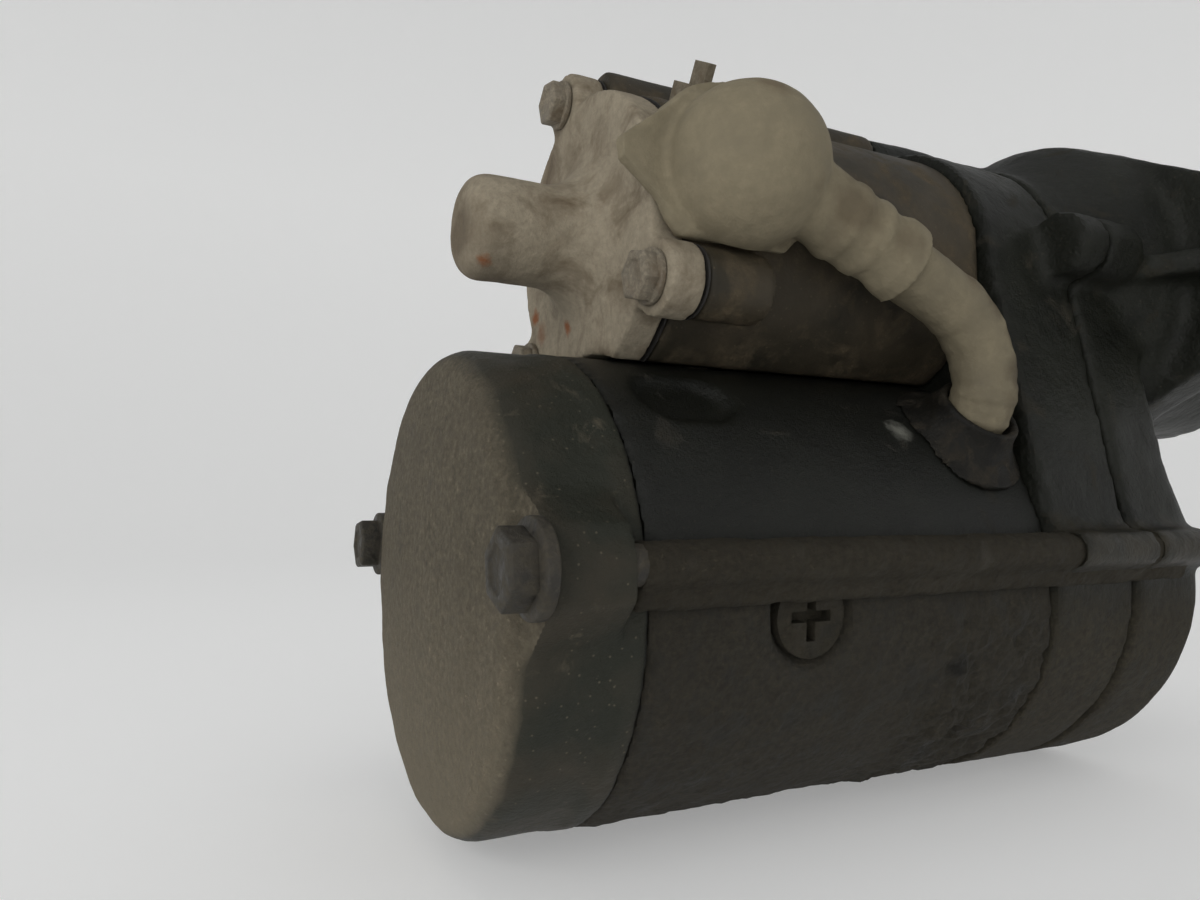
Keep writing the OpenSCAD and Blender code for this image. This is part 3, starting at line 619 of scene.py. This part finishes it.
class STARTER_OT_packed_grime(Maker, Operator):
    """Dirt caked over the through bolts and packed under them"""
    bl_idname = "starter.packed_grime"
    bl_label = "Packed grime"

    def make(self):
        hue = looks()
        start, end = COVER_JOINT - 4 * MM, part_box("through_bolts")[1].x - 1 * MM
        parts = []
        upright = Matrix(((0, 0, 1, 0), (1, 0, 0, 0), (0, 1, 0, 0), (0, 0, 0, 1)))
        # radius round the motor axis, turn above level, and half depth and width
        ridge = (45.8 * MM, math.radians(7.5), 4.2 * MM, 3.6 * MM)
        fillet = (44.0 * MM, math.radians(3.4), 2.1 * MM, 3.5 * MM)
        for side in (-1, 1):
            for ring, lean, deep, wide in (ridge, fillet):
                bpy.ops.mesh.primitive_cylinder_add(
                    vertices=32, radius=1, depth=end - start)
                strip = added("strip")
                strip.scale = (deep, wide, 1)
                applied(strip)
                place = motor_point((start + end) / 2, ring, lean, side)
                strip.matrix_world = (Matrix.Translation(place)
                                      @ Matrix.Rotation(lean * side, 4, "X") @ upright)
                parts.append(applied(strip))
        pick(*parts)
        bpy.ops.object.join()
        grime = added("packed_grime")
        work(grime, "REMESH", mode="VOXEL", voxel_size=0.8 * MM)
        work(grime, "SMOOTH", factor=0.5, iterations=4)
        uneven(grime, 0.7 * MM, 6 * MM)
        uneven(grime, 0.5 * MM, 1.6 * MM)
        f, colour, rough = dirty(
            "packed_dirt", shade(hue.grime, 0.7), hue.grime, shade(hue.grime, 0.4),
            cover=0.75, grain=0.7 * MM, patch=5 * MM, relief=0.4 * MM, grit=0.35 * MM)
        hand_over(grime, f.done(colour, rough), "housing", "gear_case_finish")


# ---------------------------------------------------------------- castings
class STARTER_OT_gear_castings(Maker, Operator):
    """Gear case and drive housing, dark with oil and dust, with painted light making them
    paler lower down
    """
    bl_idname = "starter.gear_castings"
    bl_label = "Gear castings"

    def make(self):
        hue = looks()
        f, colour, rough = dirty(
            "oily_casting", shade(hue.paint, 1.5), shade(hue.grime, 1.05),
            shade(hue.paint, 0.8), cover=0.18, grain=0.9 * MM, patch=10 * MM,
            relief=0.5 * MM, grit=0.25 * MM, clean=0.42,
            # The film below the motor axis is dust and also painted light: it makes the
            # lower castings paler, as if lit from below.
            where=lambda f: f.math("MULTIPLY", f.along((0, 0, -1), -MOTOR_Z - 1 * MM,
                                                       -MOTOR_Z + 9 * MM),
                                   f.clouds(7 * MM, 0.15, 0.5, detail=6)),
            marks=[(motor_point(x * MM, BOLT_RING, BOLT_TURN), 7 * MM,
                    shade(hue.grime, 0.7), 0.85) for x in (-58, -50, -42, -34, -26)])
        skin = f.done(colour, rough)
        for node, soft, slot in (("gear_case", 3, "gear_case_finish"),
                                 ("drive_housing", 9, "gear_case_finish")):
            piece = cast(node, node + "_casting", sizes().case_grid, soft,
                         sizes().waviness * 1.6, 12 * MM)
            hand_over(piece, skin, "housing", slot, node)


class STARTER_OT_switch_castings(Maker, Operator):
    """Body and pale rear cover of the magnetic switch"""
    bl_idname = "starter.switch_castings"
    bl_label = "Switch castings"

    def make(self):
        hue = looks()
        body = cast("switch_housing", "switch_body_casting", sizes().switch_grid * 1.2, 3,
                    sizes().waviness * 0.6, 9 * MM)
        f, colour, rough = dirty(
            "switch_body_paint", tone(66, 59, 47), tone(94, 83, 65), tone(44, 41, 33),
            cover=0.35, patch=9 * MM, relief=0.2 * MM)
        hand_over(body, f.done(colour, rough), "housing", "switch_housing_finish",
                  "switch_housing")
        cover = cast("switch_cover", "switch_cover_casting", sizes().switch_grid,
                     sizes().softness, sizes().waviness * 0.7, 6 * MM)
        f, colour, rough = dirty(
            "dusty_alloy", hue.stain, hue.alloy, shade(hue.stain, 0.8), cover=0.72,
            grain=1.0 * MM, patch=9 * MM, relief=0.25 * MM, grit=0.08 * MM, clean=0.6,
            mottle=0.14, specks=0.1,
            marks=[(Vector(place), radius * MM, mark, strength)
                   for place, radius, mark, strength in (
                       ((-0.1640, 0.001, -0.002), 13, shade(hue.stain, 0.7), 0.75),
                       ((-0.1415, 0.0225, -0.0107), 2.4, hue.rust, 0.85),
                       ((-0.1415, 0.0048, -0.0163), 2.0, hue.rust, 0.85),
                       ((-0.1415, 0.0190, -0.0150), 3.4, shade(hue.rust, 0.8), 0.5),
                       ((-0.163, -0.0055, -0.0083), 1.9, hue.rust, 0.8),
                       ((-0.143, 0.003, 0.018), 8, shade(hue.stain, 0.9), 0.4))])
        hand_over(cover, f.done(colour, rough), "housing", "switch_cover_finish",
                  "switch_cover")


class STARTER_OT_switch_bolts(Maker, Operator):
    """Three short bolts through the switch cover"""
    bl_idname = "starter.switch_bolts"
    bl_label = "Switch bolts"

    def make(self):
        hue = looks()
        low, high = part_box("switch_bolts")
        seat = low.x + 4 * MM
        head = bolt_head("switch_bolt_heads", 8 * MM, 3.5 * MM, 4.9 * MM, 0.8 * MM)
        parts = []
        for count, turn in enumerate(TIE_TURNS):
            place = switch_point(seat, TIE_RING, turn)
            parts.append(settle(twin(head, "head"), place, (-1, 0, 0), 0.3 + count))
            bpy.ops.mesh.primitive_cylinder_add(
                vertices=24, radius=2.5 * MM, depth=high.x - seat)
            shank = added("shank")
            choose(shank, lambda face: abs(face.normal.z) > 0.9)
            bpy.ops.mesh.inset(thickness=0.6 * MM)
            leave_edit()
            parts.append(settle(shank, place + Vector(((high.x - seat) / 2, 0, 0)),
                                (1, 0, 0)))
        bpy.data.objects.remove(head)
        pick(*parts)
        bpy.ops.object.join()
        bolts = added("switch_bolt_set")
        f, colour, rough = dirty(
            "dusty_zinc", tone(98, 91, 78), shade(hue.alloy, 0.9), hue.stain, cover=0.6,
            grain=0.5 * MM, patch=3 * MM, relief=0.12 * MM, clean=0.5, gloss=0.5)
        hand_over(bolts, f.done(colour, rough), "housing", "switch_cover_finish",
                  "switch_bolts")


# ---------------------------------------------------------------- terminals and lead
class STARTER_OT_terminals(Maker, Operator):
    """Terminal nuts and the blade of the pull-in coil"""
    bl_idname = "starter.terminals"
    bl_label = "Terminals"

    def make(self):
        hue = looks()
        brass = dirty("aged_brass", tone(150, 124, 78), shade(hue.alloy, 0.7),
                      tone(88, 70, 44), cover=0.4, grain=0.5 * MM, patch=2.5 * MM,
                      relief=0.08 * MM, clean=0.35, gloss=0.5, metal=0.6)
        skin = brass[0].done(*brass[1:])
        low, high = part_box("terminal_nuts")
        stud = next(mount["pos_m"] for mount in frame["record"]["mounts"]
                    if mount["name"] == "battery_terminal")
        parts = []
        for side, bottom in ((1, high.y - 6 * MM), (-1, low.y)):
            bpy.ops.mesh.primitive_cylinder_add(
                vertices=6, radius=7.5 * MM, depth=6 * MM)
            nut = added("nut")
            choose(nut, lambda face: abs(face.normal.z) > 0.9)
            bpy.ops.mesh.inset(thickness=0.8 * MM)
            bpy.ops.mesh.inset(thickness=2.0 * MM)
            leave_edit()
            choose(nut, lambda face: abs(face.normal.z) > 0.9 and len(face.vertices) == 6
                   and abs(face.center.z) > 2 * MM)
            bpy.ops.mesh.inset(thickness=0.3 * MM)
            leave_edit()
            work(nut, "BEVEL", width=0.35 * MM, segments=3, limit_method="ANGLE")
            parts.append(settle(nut, (stud[0], bottom + 3 * MM, stud[2]), (0, 1, 0), 0.2))
        pick(*parts)
        bpy.ops.object.join()
        hand_over(added("terminal_nut_pair"), skin, "housing", "trigger_terminal_finish",
                  "terminal_nuts")
        for node in ("motor_stud", "battery_stud"):
            repaint(node, skin)
        blade = dirty("dusty_blade", tone(96, 88, 72), shade(hue.alloy, 0.8), hue.stain,
                      cover=0.7, grain=0.6 * MM, patch=3 * MM, relief=0.08 * MM)
        repaint("trigger_terminal", blade[0].done(*blade[1:]))


class STARTER_OT_terminal_boot(Maker, Operator):
    """Rubber boot over the motor terminal"""
    bl_idname = "starter.terminal_boot"
    bl_label = "Terminal boot"

    def make(self):
        hue = looks()
        boot = cast("terminal_boot", "terminal_boot_rubber", sizes().rubber_grid, 6,
                    0.5 * MM, 8 * MM)
        f, colour, rough = dirty(
            "boot_rubber", shade(hue.boot, 0.84), shade(hue.boot, 1.05),
            shade(hue.boot, 0.74),
            cover=0.66, grain=1.2 * MM, patch=9 * MM, relief=0.18 * MM, grit=0.05 * MM,
            mottle=0.1, specks=0,
            clean=0.62, caked=0.88,
            # The darker marks along the neck are brown stain and painted shade together.
            marks=[(Vector(place), radius * MM, shade(hue.stain, gain), strength)
                   for place, radius, gain, strength in (
                       ((-0.128, -0.045, 0.0155), 4.2, 1.0, 0.6),
                       ((-0.118, -0.049, -0.002), 4.5, 0.9, 0.5),
                       ((-0.110, -0.044, -0.002), 8, 0.6, 0.6),
                       ((-0.099, -0.044, -0.006), 5, 0.6, 0.5))])
        hand_over(boot, f.done(colour, rough), "housing", "terminal_boot_finish",
                  "terminal_boot")


def lead_route():
    """Points of the lead, from inside the boot's neck to the grommet."""
    neck = NECK_END
    run = (neck - NECK_START).normalized()
    fall = math.acos(run.x)
    bend = 17 * MM
    centre_x = LEAD_X - bend
    reach = (centre_x + bend * math.sin(fall) - neck.x) / run.x
    centre_z = (neck + run * reach).z - bend * math.cos(fall)
    tuck = math.pi / 2 - LEAD_TURN
    drop = centre_z - MOTOR_Z + neck.y / math.tan(tuck)
    tight = drop * math.sin(tuck) / (1 - math.cos(tuck))
    points = [neck - run * 8 * MM, neck - run * 4 * MM, neck, neck + run * reach * 0.5]
    steps = 14
    for step in range(steps + 1):
        turn = (math.pi / 2 - fall) * (1 - step / steps)
        points.append(Vector((centre_x + bend * math.cos(turn), neck.y,
                              centre_z + bend * math.sin(turn))))
    for step in range(1, 10):
        turn = tuck * step / 9
        points.append(Vector((LEAD_X, neck.y + tight * (1 - math.cos(turn)),
                              centre_z - tight * math.sin(turn))))
    inward = Vector((0, math.cos(LEAD_TURN), -math.sin(LEAD_TURN)))
    points.append(points[-1] + inward * 1.5 * MM)
    return points


class STARTER_OT_lead(Maker, Operator):
    """Rubber sleeve of the lead and its grommet in the yoke"""
    bl_idname = "starter.lead"
    bl_label = "Lead and grommet"

    def make(self):
        hue = looks()
        points = lead_route()
        radii = [(5.95 + 0.22 * math.sin(3.1 * count) + 0.12 * math.sin(1.3 * count)) * MM
                 for count in range(len(points))]
        sleeve = swept("lead_sleeve_rubber", points, radii, 14)
        work(sleeve, "REMESH", mode="VOXEL", voxel_size=0.6 * MM)
        work(sleeve, "SMOOTH", factor=0.5, iterations=3)
        uneven(sleeve, 0.5 * MM, 5 * MM)
        marks = [(points[place] + Vector((0.002, -0.004, 0.003)), size * MM,
                  shade(hue.stain, gain), strength)
                 for place, size, gain, strength in (
                     (4, 3.5, 0.8, 0.6), (9, 4.0, 0.7, 0.7), (14, 3.0, 0.8, 0.6),
                     (19, 4.5, 0.5, 0.8), (25, 5.0, 0.5, 0.8))]
        f, colour, rough = dirty(
            "sleeve_rubber", shade(hue.boot, 0.76), shade(hue.boot, 0.98),
            shade(hue.boot, 0.62), cover=0.55, grain=1.2 * MM, patch=8 * MM,
            relief=0.18 * MM, grit=0.05 * MM, mottle=0.1, specks=0, clean=0.6,
            caked=0.88, marks=marks)
        hand_over(sleeve, f.done(colour, rough), "housing", "terminal_boot_finish",
                  "lead_sleeve")
        grommet = cast("lead_grommet", "grommet_rubber", sizes().rubber_grid, 4,
                       0.4 * MM, 4 * MM)
        tip = motor_point(LEAD_X, YOKE_R - 0.5 * MM, math.radians(33))
        f, colour, rough = dirty(
            "grommet_dirt", tone(29, 27, 22), tone(68, 62, 52), tone(18, 17, 14),
            cover=0.35, grain=0.6 * MM, patch=4 * MM, relief=0.15 * MM,
            marks=((tip, 4 * MM, tone(104, 88, 72), 0.6),))
        hand_over(grommet, f.done(colour, rough), "housing", "cover_gasket_finish",
                  "lead_grommet")


# ---------------------------------------------------------------- inner pieces
def repaint(node, material):
    """Gives a node that keeps its own shape a finish of this file's."""
    for slot in frame["nodes"][node].material_slots:
        slot.material = material


class STARTER_OT_inner_pieces(Maker, Operator):
    """Finishes of the pieces inside the castings"""
    bl_idname = "starter.inner_pieces"
    bl_label = "Inner pieces"

    def make(self):
        hue = looks()
        steel = machined("ground_steel", tone(168, 168, 170))
        gear = machined("gear_steel", tone(132, 130, 128), 0.36, 2 * MM, (6, 1, 1))
        plated = machined("brush_ring_plate", tone(92, 88, 80), 0.5)
        f, colour, rough = dirty(
            "caked_screws", shade(hue.grime, 0.5), shade(hue.grime, 0.8),
            shade(hue.paint, 0.8), cover=0.6, grain=0.6 * MM, patch=4 * MM)
        caked = f.done(colour, rough)
        laminated = machined("core_iron", tone(96, 92, 88), 0.45, 1.5 * MM, (14, 1, 1))
        spring = machined("spring_wire", tone(120, 118, 118), 0.3, 1 * MM)
        bronze = machined("bronze_bush", tone(164, 132, 78), 0.4)
        contact = machined("contact_copper", hue.copper, 0.34)
        wire = wound("wound_copper", hue.copper)
        resin = moulded("brown_resin", tone(72, 50, 36))
        fibre = moulded("black_fibre", tone(40, 38, 36), 0.7)
        carbon = moulded("brush_carbon", tone(46, 46, 48), 0.5, 0.4 * MM)
        groups = (
            (steel, "armature_shaft rear_bearing front_bearing idler_pin clutch_rollers "
                    "clutch_rear_bearing clutch_front_bearing pinion_shaft push_ball "
                    "push_rod plunger housing_dowels clutch_inner"),
            (gear, "idler_gear clutch_outer clutch_cap drive_pinion pinion_stop"),
            (caked, "pole_screws barrel_screws"),
            (plated, "brush_holder"),
            (laminated, "armature_core pole_cores fixed_core"),
            (spring, "brush_springs pinion_spring plunger_spring contact_spring"),
            (bronze, "idler_bush"),
            (contact, "commutator contact_disc fixed_contacts lead_eye lead_strap "
                      "lead_core"),
            (wire, "field_coils armature_winding switch_coil"),
            (resin, "contact_base coil_bobbin terminal_insulators contact_washers"),
            (fibre, "cover_gasket"),
            (carbon, "brushes"),
        )
        for material, nodes in groups:
            for node in nodes.split():
                repaint(node, material)


# ---------------------------------------------------------------- studio
class STARTER_OT_studio(Maker, Operator):
    """Pale floor, soft lights and the camera"""
    bl_idname = "starter.studio"
    bl_label = "Studio"

    def make(self):
        setting = bpy.context.scene.starter_studio
        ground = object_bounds()[0].z - 0.3 * MM
        middle = (-0.06, 0, ground)
        flat, rise, wall = 1.3, 0.9, 1.0
        bpy.ops.mesh.primitive_circle_add(vertices=96, radius=flat, fill_type="NGON",
                                          location=middle)
        floor = added("studio_floor")
        pick(floor)
        bpy.ops.object.transform_apply(location=True, rotation=True, scale=True)
        choose(floor, lambda edge: True, "EDGE")
        steps = 10
        for step in range(steps):
            a, b = (math.radians(90 * s / steps) for s in (step, step + 1))
            bpy.ops.mesh.extrude_edges_move(TRANSFORM_OT_translate={
                "value": (0, 0, rise * (math.cos(a) - math.cos(b)))})
            grow = (flat + rise * math.sin(b)) / (flat + rise * math.sin(a))
            bpy.ops.transform.resize(value=(grow, grow, 1), center_override=middle)
        bpy.ops.mesh.extrude_edges_move(TRANSFORM_OT_translate={"value": (0, 0, wall)})
        leave_edit()
        pick(floor)
        bpy.ops.object.shade_smooth_by_angle(angle=math.radians(30))
        f = Finish("pale_floor", gloss=0.1)
        tint = f.mix(f.clouds(0.8, 0.2, 0.8), shade(setting.floor, 0.985), setting.floor)
        floor.data.materials.clear()
        floor.data.materials.append(f.done(tint, 0.9))
        f.skin.inputs["Emission Color"].default_value = (1, 1, 1, 1)
        f.skin.inputs["Emission Strength"].default_value = 0.27
        floor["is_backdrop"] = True
        world = bpy.data.worlds.new("room")
        world.use_nodes = True
        sky = world.node_tree.nodes["Background"]
        sky.inputs["Color"].default_value = (0.96, 0.98, 1.0, 1)
        sky.inputs["Strength"].default_value = setting.sky
        bpy.context.scene.world = world
        aim = Vector((-0.12, -0.02, -0.05))
        for name, place, size, power in (
                ("key", (-0.95, -0.45, 0.25), 0.7, setting.key),
                ("low_fill", (-0.70, -0.80, -0.09), 0.5, setting.key * 0.45),
                ("top", (0.1, -0.3, 1.1), 1.0, setting.key * 0.6)):
            light = bpy.data.lights.new(name, "AREA")
            light.size = size
            light.energy = power
            lamp = bpy.data.objects.new(name, light)
            bpy.context.scene.collection.objects.link(lamp)
            turn = (aim - Vector(place)).to_track_quat("-Z", "Y").to_matrix().to_4x4()
            lamp.matrix_world = Matrix.Translation(place) @ turn
        lens = bpy.data.cameras.new("camera")
        lens.lens, lens.sensor_width, lens.clip_start = 25.5, 36, 0.01
        camera = bpy.data.objects.new("camera", lens)
        bpy.context.scene.collection.objects.link(camera)
        stand = Matrix((CAMERA_RIGHT, CAMERA_UP, CAMERA_BACK)).transposed().to_4x4()
        camera.matrix_world = Matrix.Translation(CAMERA_PLACE) @ stand
        bpy.context.scene.camera = camera
        bpy.context.scene.view_settings.view_transform = "Standard"


class STARTER_PT_pieces(Panel):
    """Lists the settings and the operators"""
    bl_label = "Starter motor"
    bl_idname = "STARTER_PT_pieces"
    bl_space_type = "VIEW_3D"
    bl_region_type = "UI"
    bl_category = "Starter"

    def draw(self, context):
        for maker in MAKERS:
            self.layout.operator(maker.bl_idname)
        for group in (context.scene.starter_surface, context.scene.starter_colours,
                      context.scene.starter_studio):
            box = self.layout.box()
            for key in group.bl_rna.properties.keys():
                if key not in ("rna_type", "name"):
                    box.prop(group, key)


GROUPS = {"starter_surface": STARTER_PG_surface, "starter_colours": STARTER_PG_colours,
          "starter_studio": STARTER_PG_studio}
MAKERS = (STARTER_OT_rear_cover, STARTER_OT_yoke, STARTER_OT_through_bolts,
          STARTER_OT_packed_grime, STARTER_OT_gear_castings, STARTER_OT_switch_castings,
          STARTER_OT_switch_bolts, STARTER_OT_terminals, STARTER_OT_terminal_boot,
          STARTER_OT_lead, STARTER_OT_inner_pieces, STARTER_OT_studio)


def register():
    for made in (*GROUPS.values(), *MAKERS, STARTER_PT_pieces):
        bpy.utils.register_class(made)
    for name, group in GROUPS.items():
        setattr(bpy.types.Scene, name, PointerProperty(type=group))


def unregister():
    for name in GROUPS:
        delattr(bpy.types.Scene, name)
    for made in reversed((*GROUPS.values(), *MAKERS, STARTER_PT_pieces)):
        bpy.utils.unregister_class(made)


def main():
    """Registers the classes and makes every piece."""
    register()
    for maker in MAKERS:
        family, name = maker.bl_idname.split(".")
        getattr(getattr(bpy.ops, family), name)()
    leave_edit()


if __name__ == "__main__":
    main()
